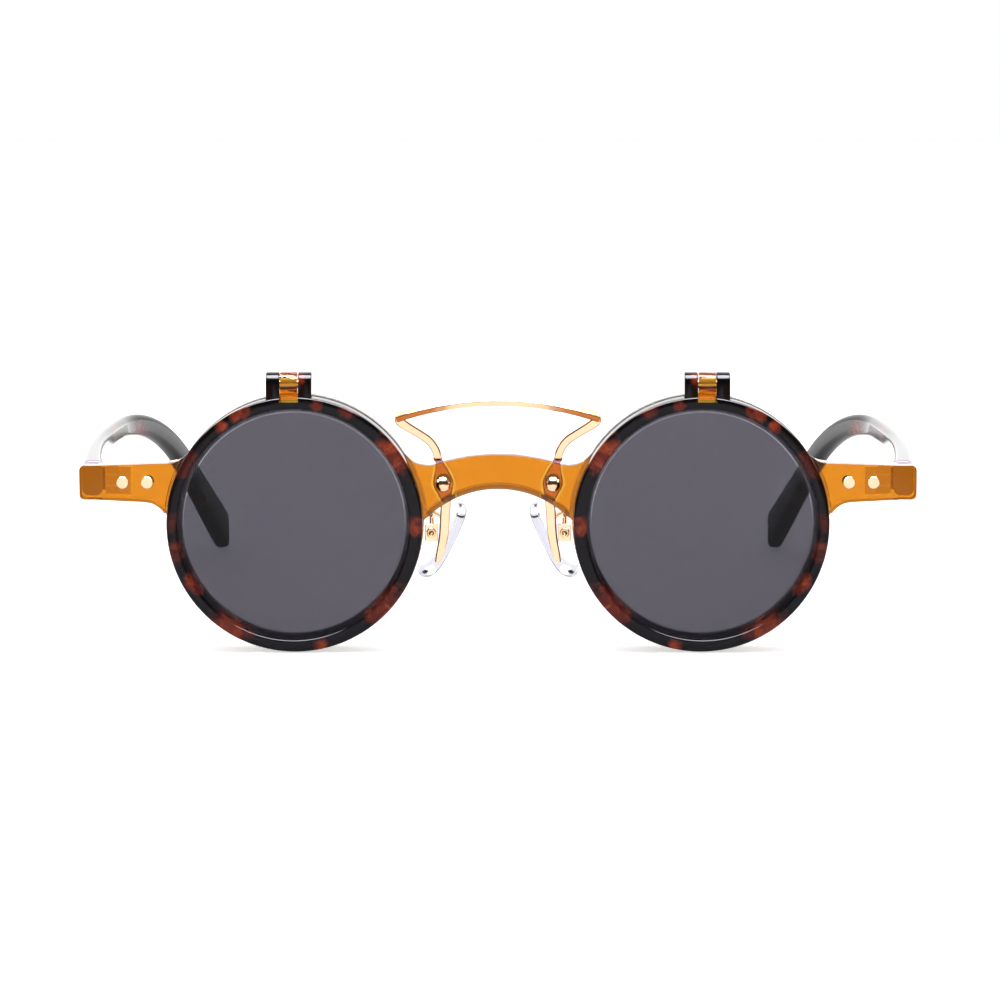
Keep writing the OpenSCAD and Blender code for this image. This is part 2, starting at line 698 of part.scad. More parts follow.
module hinge_screw() {
    translate([hinge_x, hinge_y, hinge_low_z]) cylinder(r = hinge_screw_r, h = hinge_height);
    difference() {
        translate([hinge_x, hinge_y, hinge_top_z]) cylinder(r = hinge_screw_head_r, h = 0.55);
        translate([hinge_x - 2, hinge_y - 0.15, hinge_top_z + 0.3]) cube([4, 0.3, 1]);
    }
}

module temple_plan(s0, s1, step) {
    n = ceil((s1 - s0) / step);
    s = [for (i = [0 : n]) s0 + (s1 - s0) * i / n];
    polygon(concat(
        [for (a = s) [temple_outer(a), temple_y + a]],
        [for (a = reversed(s)) [temple_inner(a), temple_y + a]]
    ));
}

module temple_side() {
    n = ceil(temple_reach / temple_step);
    s = [for (i = [0 : n]) temple_reach * i / n];
    polygon(concat(
        [for (a = s) [temple_y + a, temple_top(a)]],
        [for (a = reversed(s)) [temple_y + a, temple_low(a)]]
    ));
}

// A strip that follows the temple's middle line, with the given thickness
module core_strip(y0, y1, thickness, height) {
    n = ceil((y1 - y0) / 6);
    s = [for (i = [0 : n]) y0 - temple_y + (y1 - y0) * i / n];
    translate([0, 0, core_z - height / 2]) linear_extrude(height) polygon(concat(
        [for (a = s) [(temple_outer(a) + temple_inner(a) + thickness) / 2, temple_y + a]],
        [for (a = reversed(s)) [(temple_outer(a) + temple_inner(a) - thickness) / 2, temple_y + a]]
    ));
}

module temple() {
    color(tortoise) difference() {
        intersection() {
            linear_extrude(temple_top_z + 1) temple_plan(0, temple_reach, temple_step);
            bar_along_x(0, end_x + temple_bow + 1) temple_side();
        }
        core_strip(core_y - core_play, temple_y + core_reach + core_play, core_t + 2 * core_play, core_h + 2 * core_play);
        translate([hinge_x, leaf_tab_y - tight_play, core_z - core_h / 2 - tight_play])
            cube([
                (temple_outer(leaf_tab_y - temple_y) + temple_inner(leaf_tab_y - temple_y)) / 2 - hinge_x,
                leaf_tab_l + 2 * tight_play,
                core_h + 2 * tight_play
            ]);
    }
}

module temple_core() {
    color(steel) core_strip(core_y, temple_y + core_reach, core_t, core_h);
}

module temple_hinge() {
    low = end_z - temple_leaf_h / 2;
    leaf_end = hinge_y + temple_leaf_length;
    s = [for (i = [0 : 4]) temple_leaf_y - temple_y + (leaf_end - temple_leaf_y) * i / 4];
    tab_s = leaf_tab_y + leaf_tab_l - temple_y;
    color(steel) difference() {
        union() {
            translate([0, 0, low]) linear_extrude(temple_leaf_h) polygon(concat(
                [for (a = s) [temple_inner(a) - tight_play, temple_y + a]],
                [for (a = reversed(s)) [temple_inner(a) - leaf_t, temple_y + a]]
            ));
            translate([hinge_x, hinge_y, barrel_low_z]) cylinder(r = hinge_barrel_r, h = temple_barrel_h);
            translate([hinge_x, hinge_y, barrel_low_z])
                cube([hinge_barrel_r, temple_leaf_y - hinge_y + 0.5, temple_barrel_h]);
            difference() {
                translate([temple_inner(tab_s) - 0.8, leaf_tab_y, core_z - core_h / 2])
                    cube([(temple_thick(tab_s) - core_t) / 2 + 0.5, leaf_tab_l, core_h]);
                core_strip(core_y - 1, hinge_y + temple_leaf_length, core_t, core_h + 1);
            }
        }
        translate([hinge_x, hinge_y, hinge_low_z - 1])
            cylinder(r = hinge_screw_r + pin_play, h = hinge_height + 2);
    }
}

module pad_box() {
    inner = pad_box_depth - 2 * pad_box_wall;
    color(gold) translate([pad_box_x, pad_box_y, pad_box_z]) difference() {
        translate([-pad_box_w / 2, -pad_box_depth / 2, -pad_box_h / 2])
            cube([pad_box_w, pad_box_depth, pad_box_h]);
        translate([-pad_box_w, -inner / 2, -pad_box_h])
            cube([1.5 * pad_box_w - pad_box_wall, inner, 1.5 * pad_box_h - pad_box_wall]);
        rod_y(0, 0, pad_screw_r + tight_play, -pad_box_depth, pad_box_depth);
    }
}

module pad_screw() {
    front = pad_box_y - pad_box_depth / 2;
    rod_y(pad_box_x, pad_box_z, pad_screw_r, front, pad_box_y + pad_box_depth / 2);
    difference() {
        rod_y(pad_box_x, pad_box_z, pad_screw_head_r, front - 0.4, front);
        translate([pad_box_x - 1, front - 1.2, pad_box_z - 0.12]) cube([2, 1, 0.24]);
    }
}

module pad_arm() {
    start = [stud_x - 0.15, leg_back_y + leg_t, pad_box_z + 2.7];
    a = start + [0, 1.3, 0];
    b = [pad_box_x - 0.5, pad_box_y - 0.4, arm_z + 1.9];
    c = [pad_box_x, pad_box_y, arm_z + 1.2];
    end = [pad_box_x, pad_box_y, arm_z];
    color(gold) {
        wire(start, a, arm_r);
        wire(a, b, arm_r);
        wire(b, c, arm_r);
        wire(c, end, arm_r);
        for (p = [a, b, c]) translate(p) sphere(r = arm_r, $fn = 32);
    }
}

// Places a shape drawn in the pad's plane: x across, y up, z toward the nose
module on_pad() {
    translate(pad_centre) rotate([0, 0, -pad_splay]) rotate([0, -pad_lean, 0])
        rotate([90, 0, -90]) children();
}

// A long rounded outline, a little narrower at its top
module pad_outline(w, h) {
    low_r = w / 2;
    top_r = 0.42 * w;
    translate([0, low_r - h / 2]) circle(r = low_r);
    translate([0, h / 2 - top_r]) circle(r = top_r);
    polygon([
        [-low_r, low_r - h / 2], [low_r, low_r - h / 2],
        [top_r, h / 2 - top_r], [-top_r, h / 2 - top_r],
    ]);
}

module pad_core_solid(gap) {
    knee = [pad_box_x - 1.6, pad_box_y, pad_box_z - 0.4];
    grip = pad_centre - 0.8 * pad_across - 0.45 * pad_down;
    on_pad() translate([0, 0, -0.45 - gap]) linear_extrude(0.5 + 2 * gap)
        pad_outline(pad_w * 0.45 + 2 * gap, pad_h * 0.5 + 2 * gap);
    wire([pad_box_x - pad_eye_r / 2 - 0.2, pad_box_y, pad_box_z - 0.1], knee, 0.36 + gap);
    translate(knee) sphere(r = 0.42 + gap, $fn = 32);
    wire(knee, grip, 0.36 + gap);
}

module pad_core() {
    color(steel) difference() {
        union() {
            pad_core_solid(0);
            rod_y(pad_box_x, pad_box_z, pad_eye_r, pad_box_y - 0.45, pad_box_y + 0.45);
        }
        rod_y(pad_box_x, pad_box_z, pad_screw_r + pin_play, pad_box_y - 2, pad_box_y + 2);
    }
}

module nose_pad() {
    color(clear) difference() {
        on_pad() translate([0, 0, -pad_t / 2]) linear_extrude(pad_t) pad_outline(pad_w, pad_h);
        pad_core_solid(tight_play);
    }
}

front_frame();
left_side() clear_lens();  // clear_lens_left
right_side() clear_lens();  // clear_lens_right
left_side() front_hinge();  // front_hinge_left
right_side() front_hinge();  // front_hinge_right
color(gold) both_sides() { end_rivet(0); end_rivet(1); }  // end_rivets
color(steel) both_sides() hinge_screw();  // hinge_screws
brow_bar();
color(gold) both_sides() bridge_screw();  // bridge_screws
color(gold) both_sides() bridge_nut();  // bridge_nuts
left_side() pad_arm();  // pad_arm_left
right_side() pad_arm();  // pad_arm_right
left_side() pad_box();  // pad_box_left
right_side() pad_box();  // pad_box_right
color(gold) both_sides() pad_screw();  // pad_screws
left_side() pad_core();  // pad_core_left
right_side() pad_core();  // pad_core_right
left_side() nose_pad();  // nose_pad_left
right_side() nose_pad();  // nose_pad_right
left_side() flip_rim();  // flip_rim_left
right_side() flip_rim();  // flip_rim_right
left_side() dark_lens();  // dark_lens_left
right_side() dark_lens();  // dark_lens_right
left_side() flip_pin();  // flip_pin_left
right_side() flip_pin();  // flip_pin_right
left_side() temple();  // temple_left
right_side() temple();  // temple_right
left_side() temple_core();  // temple_core_left
right_side() temple_core();  // temple_core_right
left_side() temple_hinge();  // temple_hinge_left
right_side() temple_hinge();  // temple_hinge_right
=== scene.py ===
# %% [markdown]
# # Round flip-up sunglasses with a brow bar
# The real object is a see-through amber front with two clear lenses. Two dark
# tortoiseshell rims hang from hinges on its top and swing up out of the way.
# A gold bar runs between the rims, and two temples fold in behind.
# This lesson loads the measured parts as a fixed frame, gives each one its finish,
# and rebuilds the pieces whose edges and curves need more care than the frame has.

import json
import math

import bmesh
import bpy
from mathutils import Matrix, Vector


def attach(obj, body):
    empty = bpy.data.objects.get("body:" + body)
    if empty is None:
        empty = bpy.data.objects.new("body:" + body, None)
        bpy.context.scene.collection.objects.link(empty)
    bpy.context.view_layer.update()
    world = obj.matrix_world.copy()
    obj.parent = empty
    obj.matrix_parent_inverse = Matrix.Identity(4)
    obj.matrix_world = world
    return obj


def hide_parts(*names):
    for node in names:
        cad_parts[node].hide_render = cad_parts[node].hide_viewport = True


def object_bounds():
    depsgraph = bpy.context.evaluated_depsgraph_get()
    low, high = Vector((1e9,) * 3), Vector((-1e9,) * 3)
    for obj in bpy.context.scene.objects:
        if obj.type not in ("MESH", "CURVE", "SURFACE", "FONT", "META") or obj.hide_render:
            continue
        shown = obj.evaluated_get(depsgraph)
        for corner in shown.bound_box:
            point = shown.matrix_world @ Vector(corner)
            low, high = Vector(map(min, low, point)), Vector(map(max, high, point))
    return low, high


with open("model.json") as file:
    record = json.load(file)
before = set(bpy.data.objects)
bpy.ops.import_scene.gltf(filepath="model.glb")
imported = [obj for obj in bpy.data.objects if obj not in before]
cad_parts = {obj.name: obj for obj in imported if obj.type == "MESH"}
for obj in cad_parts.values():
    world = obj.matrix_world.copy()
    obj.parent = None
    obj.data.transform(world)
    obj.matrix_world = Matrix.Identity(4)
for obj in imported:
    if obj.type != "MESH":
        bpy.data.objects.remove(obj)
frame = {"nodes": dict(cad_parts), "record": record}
cad_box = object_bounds()
nodes = frame["nodes"]
print(len(nodes), "nodes;", "size in mm:", [round(v * 1000, 1) for v in cad_box[1] - cad_box[0]])

# %% [markdown]
# ## Writing shader maths as sums
# A finish such as tortoiseshell is a long chain of Math nodes. A node can be wrapped
# in a small class, so that a + b in Python makes an Add node, and the chain then
# reads like a formula. Every other node comes from one method, make.


# %% Wrap the sockets
class Wire:
    """An output socket, or a plain number, that can be used in arithmetic."""

    def __init__(self, finish, socket):
        self.finish, self.socket = finish, socket

    def _math(self, operation, *others):
        node = self.finish.tree.nodes.new("ShaderNodeMath")
        node.operation = operation
        for slot, value in zip(node.inputs, (self, *others)):
            self.finish.plug(slot, value)
        return Wire(self.finish, node.outputs[0])

    def __add__(self, other):
        return self._math("ADD", other)

    def __radd__(self, other):
        return self._math("ADD", other)

    def __sub__(self, other):
        return self._math("SUBTRACT", other)

    def __rsub__(self, other):
        return Wire(self.finish, other)._math("SUBTRACT", self)

    def __mul__(self, other):
        return self._math("MULTIPLY", other)

    def __rmul__(self, other):
        return self._math("MULTIPLY", other)

    def __truediv__(self, other):
        return self._math("DIVIDE", other)

    def power(self, exponent):
        return self._math("POWER", exponent)

    def size(self):
        return self._math("ABSOLUTE")

    def larger(self, other):
        return self._math("MAXIMUM", other)

    def ramp(self, low, high):
        """0 below low, 1 above high, and a smooth rise between."""
        node = self.finish.make("ShaderNodeMapRange", **{"Value": self, "From Min": low, "From Max": high})
        node.interpolation_type = "SMOOTHSTEP"
        return Wire(self.finish, node.outputs["Result"])


class Nodes:
    """A node tree, and short ways to add to it."""

    def __init__(self, tree):
        self.tree = tree

    def plug(self, slot, value):
        if isinstance(value, Wire):
            value = value.socket
        if isinstance(value, bpy.types.NodeSocket):
            self.tree.links.new(value, slot)
        else:
            slot.default_value = value

    def make(self, kind, **inputs):
        node = self.tree.nodes.new(kind)
        for key, value in inputs.items():
            self.plug(node.inputs[key], value)
        return node

    def wire(self, socket):
        return Wire(self, socket)

    def split(self, vector):
        return [self.wire(s) for s in self.make("ShaderNodeSeparateXYZ", Vector=vector).outputs]

    def seen_directly(self):
        """1 for what is seen straight, in a mirror or through plastic, and 0 for light on a surface."""
        rays = self.make("ShaderNodeLightPath").outputs
        straight, glossy, through = (
            self.wire(rays[key]) for key in ("Is Camera Ray", "Is Glossy Ray", "Is Transmission Ray")
        )
        return straight.larger(glossy).larger(through)

    def seen_in_a_mirror(self):
        """1 for what a shiny surface mirrors, and 0 for all else."""
        rays = self.make("ShaderNodeLightPath").outputs
        return self.wire(rays["Is Glossy Ray"]) * (1.0 - self.wire(rays["Is Transmission Ray"]))


class Finish(Nodes):
    """A material with one Principled shader, and short ways to feed it."""

    def __init__(self, name, **settings):
        self.material = bpy.data.materials.new(name)
        self.material.use_nodes = True
        super().__init__(self.material.node_tree)
        self.shader = self.tree.nodes["Principled BSDF"]
        self.output = self.tree.nodes["Material Output"]
        for key, value in settings.items():
            self.shader.inputs[key].default_value = value

    def feed(self, key, value):
        self.plug(self.shader.inputs[key], value)

    def place(self):
        """The point on the object, in metres, as three wires."""
        return self.split(self.make("ShaderNodeTexCoord").outputs["Object"])

    def point(self, x, y, z):
        return self.make("ShaderNodeCombineXYZ", X=x, Y=y, Z=z).outputs[0]

    def noise(self, where, scale, detail=3.0, roughness=0.5, distortion=0.0):
        node = self.make(
            "ShaderNodeTexNoise",
            Vector=where,
            Scale=scale,
            Detail=detail,
            Roughness=roughness,
            Distortion=distortion,
        )
        return self.wire(node.outputs["Fac"])

    def blend(self, share, first, second):
        """The first colour at 0 and the second at 1."""
        node = self.tree.nodes.new("ShaderNodeMix")
        node.data_type = "RGBA"
        self.plug(node.inputs["Factor"], share)
        for slot, value in ((node.inputs[6], first), (node.inputs[7], second)):
            self.plug(slot, (*value, 1.0) if isinstance(value, tuple) and len(value) == 3 else value)
        return self.wire(node.outputs[2])


def shade(grey_or_rgb):
    """A colour given as 0 to 255 on the screen, turned to the linear value a shader takes."""
    return tuple((v / 255 / 12.92) if v <= 10 else ((v / 255 + 0.055) / 1.055) ** 2.4 for v in grey_or_rgb)


print("a mid grey of 128 is", round(shade((128,))[0], 3), "as light")

# %% [markdown]
# ## Amber plastic
# The front is cut from a sheet of see-through acetate. A painted orange would look
# dead, because the real colour comes from light that passes through the sheet, so the
# shader is clear plastic and the colour is an absorption inside it. Thick places and
# edges then turn brown by themselves, as they do in the real sheet. On top of that, the
# rounded edges, the bridge's arch and the ring pockets are darkened with painted shade.

# %% Amber
RIM_X, RIM_Z = 0.0339, 0.02145  # centre of a rim, in metres
FACE_Y = -0.0697  # front face of the flip rims
ARCH_Z = 0.01005  # centre of the bridge's lower arch
KNUCKLE_X, KNUCKLE_HALF = 0.03475, 0.0015


def amber_finish(name):
    """Clear plastic that swallows blue and most green as light passes through it."""
    finish = Finish(name, **{"Transmission Weight": 1.0, "IOR": 1.49, "Specular Tint": (0.35, 0.35, 0.35, 1)})
    inside = finish.make("ShaderNodeVolumeAbsorption", Color=(0.94, 0.732, 0.007, 1), Density=1000.0)
    finish.tree.links.new(inside.outputs[0], finish.output.inputs["Volume"])
    return finish


def between(distance, low, high, soft=0.0001):
    """1 from low to high, and 0 outside, with soft ends."""
    return distance.ramp(low - soft, low) * distance.ramp(high + soft, high)


amber = amber_finish("amber")
x, y, z = amber.place()
side_x = x.size()
from_rim = ((side_x - RIM_X) * (side_x - RIM_X) + (z - RIM_Z) * (z - RIM_Z)).power(0.5)
from_arch = (x * x + (z - ARCH_Z) * (z - ARCH_Z)).power(0.5)
# painted shade: a darker band along the lower arch of the bridge
arch_shade = between(from_arch, 0.01695, 0.01778)
# painted shade: the pocket round each flip rim is darkened
pocket_shade = between(from_rim, 0.0213, 0.02195)
tint = amber.blend(arch_shade, (0.74, 0.74, 0.74), (0.35, 0.31, 0.56))
amber.feed("Base Color", amber.blend(pocket_shade, tint, (0.38, 0.25, 0.23)))
amber.feed("Roughness", 0.02 + 0.03 * amber.noise(amber.point(x, y, z), 140.0))

# %% [markdown]
# The upper outer wall of each ring takes a grey-brown second shader. It is a painted
# sheen and shade, for how light falls on that wall seen from above. The rounded edges
# of the whole front take a dark colour too, a painted shade that draws its fine outline.

# %% Ring walls and edges
# painted sheen: a grey-brown shader covers the upper outer wall of each ring
sheen_mask = between(from_rim, 0.0213, 0.0216, 0.0002) * z.ramp(0.031, 0.034)
sheen_mask = sheen_mask * (side_x - KNUCKLE_X).size().ramp(KNUCKLE_HALF, KNUCKLE_HALF + 0.0002)
sheen_look = {"Base Color": (*shade((104, 84, 76)), 1), "Roughness": 0.25, "Specular Tint": (0.3, 0.3, 0.3, 1)}
painted_sheen = amber.make("ShaderNodeBsdfPrincipled", **sheen_look)
sheen_share = amber.make("ShaderNodeMixShader", Fac=sheen_mask)
amber.tree.links.new(amber.shader.outputs[0], sheen_share.inputs[1])
amber.tree.links.new(painted_sheen.outputs[0], sheen_share.inputs[2])
amber.tree.links.new(sheen_share.outputs[0], amber.output.inputs["Surface"])
# painted shade: a dark amber on the rounded edges of the front draws its outline
amber_edge_shade = amber_finish("amber_edge_shade")
amber_edge_shade.feed("Base Color", (0.24, 0.16, 0.12, 1.0))
amber_edge_shade.feed("Roughness", 0.05)

# %% [markdown]
# ## Tortoiseshell
# Tortoiseshell acetate is nearly black with red-brown islands. On this pair the islands
# can be counted, and both sides mirror each other, so each one is placed as a soft ball
# in space, whose edge a noise pulls out of round. An island on a rim is given by its
# angle from the top, outward being positive, its distance from the rim's centre and its
# size. Inside an island the colour runs from brown to orange.

# %% Islands of the tortoiseshell
RIM_ISLANDS = [
    # angle, distance and size in degrees and millimetres, and how strong the colour is
    (26, 20.9, 1.7, 1.0),
    (36, 20.4, 1.1, 0.9),
    (-11, 20.2, 1.0, 0.9),
    (-25, 21.2, 1.6, 0.4),
    (-55, 20.0, 3.3, 1.0),
    (-44, 22.0, 1.0, 1.0),
    (-91, 20.4, 1.5, 0.7),
    (-132, 20.4, 3.8, 0.75),
    (-168, 20.8, 1.2, 0.8),
    (148, 20.6, 3.4, 0.7),
    (121, 18.7, 2.0, 1.0),
    (103, 20.4, 1.8, 0.45),
    (88, 20.4, 1.5, 0.25),
    (60, 20.3, 2.4, 0.3),
]
TEMPLE_ISLANDS = [
    # side, depth and height of the middle, size, all in millimetres, and strength
    (70.5, -52.0, 28.5, 2.2, 0.5),
    (73.0, -20.0, 29.5, 2.6, 0.8),
    (71.5, 3.0, 30.5, 2.0, 1.0),
    (73.0, 14.0, 29.0, 2.4, 1.0),
    (69.0, 27.0, 27.5, 2.6, 0.6),
    (64.0, 40.0, 19.0, 3.0, 0.35),
    (60.5, 52.0, 11.0, 2.8, 0.45),
    (72.0, -38.0, 28.0, 1.8, 0.5),
]
HINGE_ISLANDS = [
    # the same, for the knuckles
    (33.2, -67.4, 46.2, 1.6, 1.0),
    (32.0, -66.2, 45.0, 1.2, 0.8),
    (37.8, -66.0, 44.2, 0.7, 0.3),
]


def islands_in_space():
    for angle, distance, size, strength in RIM_ISLANDS:
        turn = math.radians(angle)
        x, z = RIM_X + distance * 1e-3 * math.sin(turn), RIM_Z + distance * 1e-3 * math.cos(turn)
        yield x, FACE_Y, z, size * 1e-3, strength
    for side, depth, height, size, strength in TEMPLE_ISLANDS + HINGE_ISLANDS:
        yield side * 1e-3, depth * 1e-3, height * 1e-3, size * 1e-3, strength


print(len(list(islands_in_space())), "islands on each side")

# %% Tortoiseshell
tortoise = Finish(
    "tortoiseshell",
    **{"IOR": 1.5, "Specular IOR Level": 0.25, "Specular Tint": (0.6, 0.58, 0.66, 1)},
)
shell_x, shell_y, shell_z = tortoise.place()
side_x = shell_x.size()
shell = tortoise.point(side_x, shell_y, shell_z)
ragged = (tortoise.noise(shell, 420.0, 5.0, 0.65) - 0.5) * 2.2
cover = Wire(tortoise, 0.0)
for x, y, z, size, strength in islands_in_space():
    off_x, off_y, off_z = (side_x - x) / size, (shell_y - y) / (2.2 * size), (shell_z - z) / size
    away = (off_x * off_x + off_y * off_y + off_z * off_z).power(0.5)
    cover = cover.larger((away + ragged).ramp(1.3, 0.5) * strength)
fine = tortoise.noise(shell, 800.0, 3.0)
glow_share = tortoise.noise(shell, 300.0, 3.0, 0.6, 1.0).ramp(0.4, 0.68)
dark = tortoise.blend(fine, shade((13, 12, 14)), shade((21, 18, 20)))
warm = tortoise.blend(glow_share, shade((112, 38, 24)), shade((178, 72, 38)))
tortoise.feed("Base Color", tortoise.blend(cover, dark, warm))
tortoise.feed("Roughness", 0.06 + 0.06 * fine)

# %% [markdown]
# Light that passes through the amber end pieces falls on what lies right behind them.
# That light is painted on: the front face of each temple, and a little of its inner
# side, glow faintly for it.

# %% The temples behind the amber
front_face = shell_y.ramp(-0.0605, -0.0607) * side_x.ramp(0.0655, 0.0660)
inner_side = shell_y.ramp(-0.0580, -0.0600) * between(side_x, 0.0655, 0.0668) * 0.3
glow = tortoise.blend(front_face.larger(inner_side), (0, 0, 0), (0.7, 0.62, 0.8))
tortoise.feed("Emission Color", glow)
tortoise.shader.inputs["Emission Strength"].default_value = 1.0

# %% [markdown]
# ## Lenses, pads and metal
# The dark lens is grey plastic, clear enough to see the temple behind it. A thin paler
# line round the upper half of its polished edge is a painted highlight.

# %% Dark lens
smoke = Finish(
    "dark_lens",
    **{"Transmission Weight": 1.0, "IOR": 1.2, "Roughness": 0.0, "Specular IOR Level": 0.0},
)
LENS_X = RIM_X + 0.00025
lens_x, _, lens_z = smoke.place()
lens_side = lens_x.size() - LENS_X
from_lens = (lens_side * lens_side + (lens_z - RIM_Z) * (lens_z - RIM_Z)).power(0.5)
# painted highlight: a paler line round the upper half of the lens's edge
lens_highlight = between(from_lens, 0.01854, 0.01861, 0.00005) * lens_z.ramp(RIM_Z - 0.004, RIM_Z + 0.006)
smoke.feed("Base Color", smoke.blend(lens_highlight, shade((83, 81, 89)), (0.27, 0.27, 0.3)))

# %% Clear lens and pads
clear = Finish(
    "clear_lens",
    **{"Base Color": (0.98, 0.98, 0.99, 1), "Transmission Weight": 1.0},
    **{"IOR": 1.2, "Roughness": 0.0, "Specular IOR Level": 0.0},
)
silicone = Finish(
    "clear_pad",
    **{"Base Color": (0.88, 0.88, 0.97, 1), "Transmission Weight": 1.0, "IOR": 1.41, "Roughness": 0.02},
)

# %% [markdown]
# Gold and steel are metals with a fine grain in their roughness. Where they lie right
# behind the amber they glow faintly with painted light, for the same reason as the
# temples' front faces; there the steel's own colour is black.

# %% Gold
gold = Finish("pale_gold", **{"Metallic": 1.0})
gold_x, gold_y, gold_z = gold.place()
grain = gold.noise(gold.point(gold_x, gold_y, gold_z), 900.0, 2.0)
gold.feed("Base Color", gold.blend(grain, shade((243, 209, 169)), shade((248, 216, 181))))
gold.feed("Roughness", 0.05 + 0.05 * grain)
# painted light: the gold legs in the recess behind the amber glow
in_recess = between(gold_y, -0.0639, -0.0622) * between(gold_z, 0.0252, 0.0318)
in_recess = in_recess * between(gold_x.size(), 0.0068, 0.0118)
gold.feed("Emission Color", gold.blend(in_recess, (0, 0, 0), (0.27, 0.23, 0.4)))
gold.shader.inputs["Emission Strength"].default_value = 1.0

# %% Hinge steel
steel = Finish("hinge_metal", **{"Metallic": 1.0, "Roughness": 0.28})
steel_x, steel_y, steel_z = steel.place()
brushed = steel.noise(steel.point(steel_x, steel_y * 6.0, steel_z * 6.0), 700.0, 3.0)
steel_colour = steel.blend(brushed, shade((170, 160, 146)), shade((205, 197, 184)))
steel.feed("Roughness", 0.2 + 0.15 * brushed)
# painted light: behind the amber the steel is black and glows
behind_amber = steel_y.ramp(-0.0568, -0.0588) * steel_x.size().ramp(0.060, 0.061)
steel.feed("Base Color", steel.blend(behind_amber, steel_colour, (0, 0, 0)))
steel.feed("Emission Color", steel.blend(behind_amber, (0, 0, 0), (1.0, 0.93, 0.6)))
steel.shader.inputs["Emission Strength"].default_value = 1.0

FINISHES = {
    "amber_plastic": amber,
    "tortoise_plastic": tortoise,
    "dark_lens": smoke,
    "clear_lens": clear,
    "gold_metal": gold,
    "hinge_metal": steel,
    "pad_silicone": silicone,
}

# %% [markdown]
# ## Dressing the frame's own nodes
# A node whose shape is right keeps its mesh. It takes its finish here. The front and
# the pad boxes also take a small rounded edge from a Bevel modifier, because a perfectly
# sharp edge catches no light. Their triangles are loose, so a Weld modifier joins them first.

# %% Give each node its finish
slot_of = {s["node"]: s["material_slot"] for s in frame["record"]["subparts"]}


def round_edges(piece, width):
    weld = piece.modifiers.new("weld", "WELD")
    weld.merge_threshold = 2e-6
    bevel = piece.modifiers.new("bevel", "BEVEL")
    bevel.width, bevel.segments, bevel.limit_method = width, 2, "ANGLE"
    bevel.angle_limit = math.radians(35)
    bevel.harden_normals = True


# width of the rounded edge in metres
EDGE = {"front_frame": 0.00015, "pad_box": 0.00012}
for name, node in nodes.items():
    node.data.materials.clear()
    node.data.materials.append(FINISHES[slot_of[name]].material)
    for start, width in EDGE.items():
        if name.startswith(start):
            round_edges(node, width)
# painted shade on the front's rounded edges
nodes["front_frame"].data.materials.append(amber_edge_shade.material)
nodes["front_frame"].modifiers["bevel"].material = 1
print("finished", len(nodes), "nodes")

# %% [markdown]
# ## Tools for new pieces
# Everything below is in millimetres, in the frame the parts were drawn in, where y is 0
# on the seam between the flip rims and the front. One function turns a finished mesh
# into a piece: it scales and moves the points, smooths all but the sharp edges, gives
# the finish and hangs the piece on its moving body.

# %% Turn a mesh into a piece
SEAM_Y = -64.35


def finish_piece(name, build, body, stands_for, finish, side=1, sharp=40):
    for vertex in build.verts:
        x, y, z = vertex.co
        vertex.co = (side * x * 1e-3, (y + SEAM_Y) * 1e-3, z * 1e-3)
    bmesh.ops.remove_doubles(build, verts=build.verts, dist=1e-7)
    bmesh.ops.recalc_face_normals(build, faces=build.faces)
    for face in build.faces:
        face.smooth = True
    for edge in build.edges:
        edge.smooth = edge.calc_face_angle(0) < math.radians(sharp)
    mesh = bpy.data.meshes.new(name)
    build.to_mesh(mesh)
    build.free()
    mesh.materials.append(finish.material)
    piece = bpy.data.objects.new(name, mesh)
    bpy.context.scene.collection.objects.link(piece)
    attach(piece, body)
    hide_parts(*stands_for)
    return piece


def lathe(build, x, z, profile, steps=96):
    """Spins (radius, y) points round a line that runs front to back through x, z."""
    points = [build.verts.new((x + r, y, z)) for r, y in profile]
    edges = [build.edges.new(pair) for pair in zip(points, points[1:])]
    round_line = {"cent": (x, 0, z), "axis": (0, 1, 0), "angle": math.tau}
    bmesh.ops.spin(build, geom=points + edges, steps=steps, use_merge=True, **round_line)


def arc(centre_r, centre_y, radius, start, stop, steps=5):
    """Points of a rounded corner; angle 0 looks outward and 90 to the front."""
    turns = [math.radians(start + (stop - start) * k / steps) for k in range(steps + 1)]
    return [(centre_r + radius * math.cos(t), centre_y - radius * math.sin(t)) for t in turns]


# %% [markdown]
# ## Temples
# A temple is drawn by its four edges as it runs back. It bows out a little, thins to a
# waist, bends down behind the ear and turns in at the tip. Each station is a rounded
# rectangle, and the skin is pulled from station to station. The last few stations
# shrink along a quarter circle, so that the tip ends in round corners.

# %% Temple edges
TEMPLE = {"y": 3.4, "reach": 130.6, "end_x": 70.0, "top": 31.3, "waist": 58.6, "bend": 86.6, "bend_r": 42.0}


def drop(s, radius, slope):
    slope = math.radians(slope)
    if s <= 0:
        return 0.0
    if s < radius * math.sin(slope):
        return radius - math.sqrt(radius * radius - s * s)
    return radius * (1 - math.cos(slope)) + (s - radius * math.sin(slope)) * math.tan(slope)


def ease(t):
    t = max(0.0, min(1.0, t))
    return t * t * (3 - 2 * t)


def temple_edges(s):
    """Outer, inner, upper and lower edge at s millimetres behind the front end."""
    waist = 1 - ease(s / TEMPLE["waist"])
    rear = ease((s - TEMPLE["bend"]) / (TEMPLE["reach"] - TEMPLE["bend"]))
    bow = 3.695 * (1 - ((s - TEMPLE["waist"]) / TEMPLE["waist"]) ** 2)
    outer = TEMPLE["end_x"] + bow - drop(s - 79.6, TEMPLE["bend_r"], 11.9)
    upper = TEMPLE["top"] - drop(s - TEMPLE["bend"], TEMPLE["bend_r"], 39.6)
    lower = TEMPLE["top"] - 4.0 - 1.7 * waist - drop(s - TEMPLE["bend"] + 1.6, TEMPLE["bend_r"], 44.0)
    return outer, outer - (2.5 + waist + 0.7 * rear), upper, max(0.0, lower)


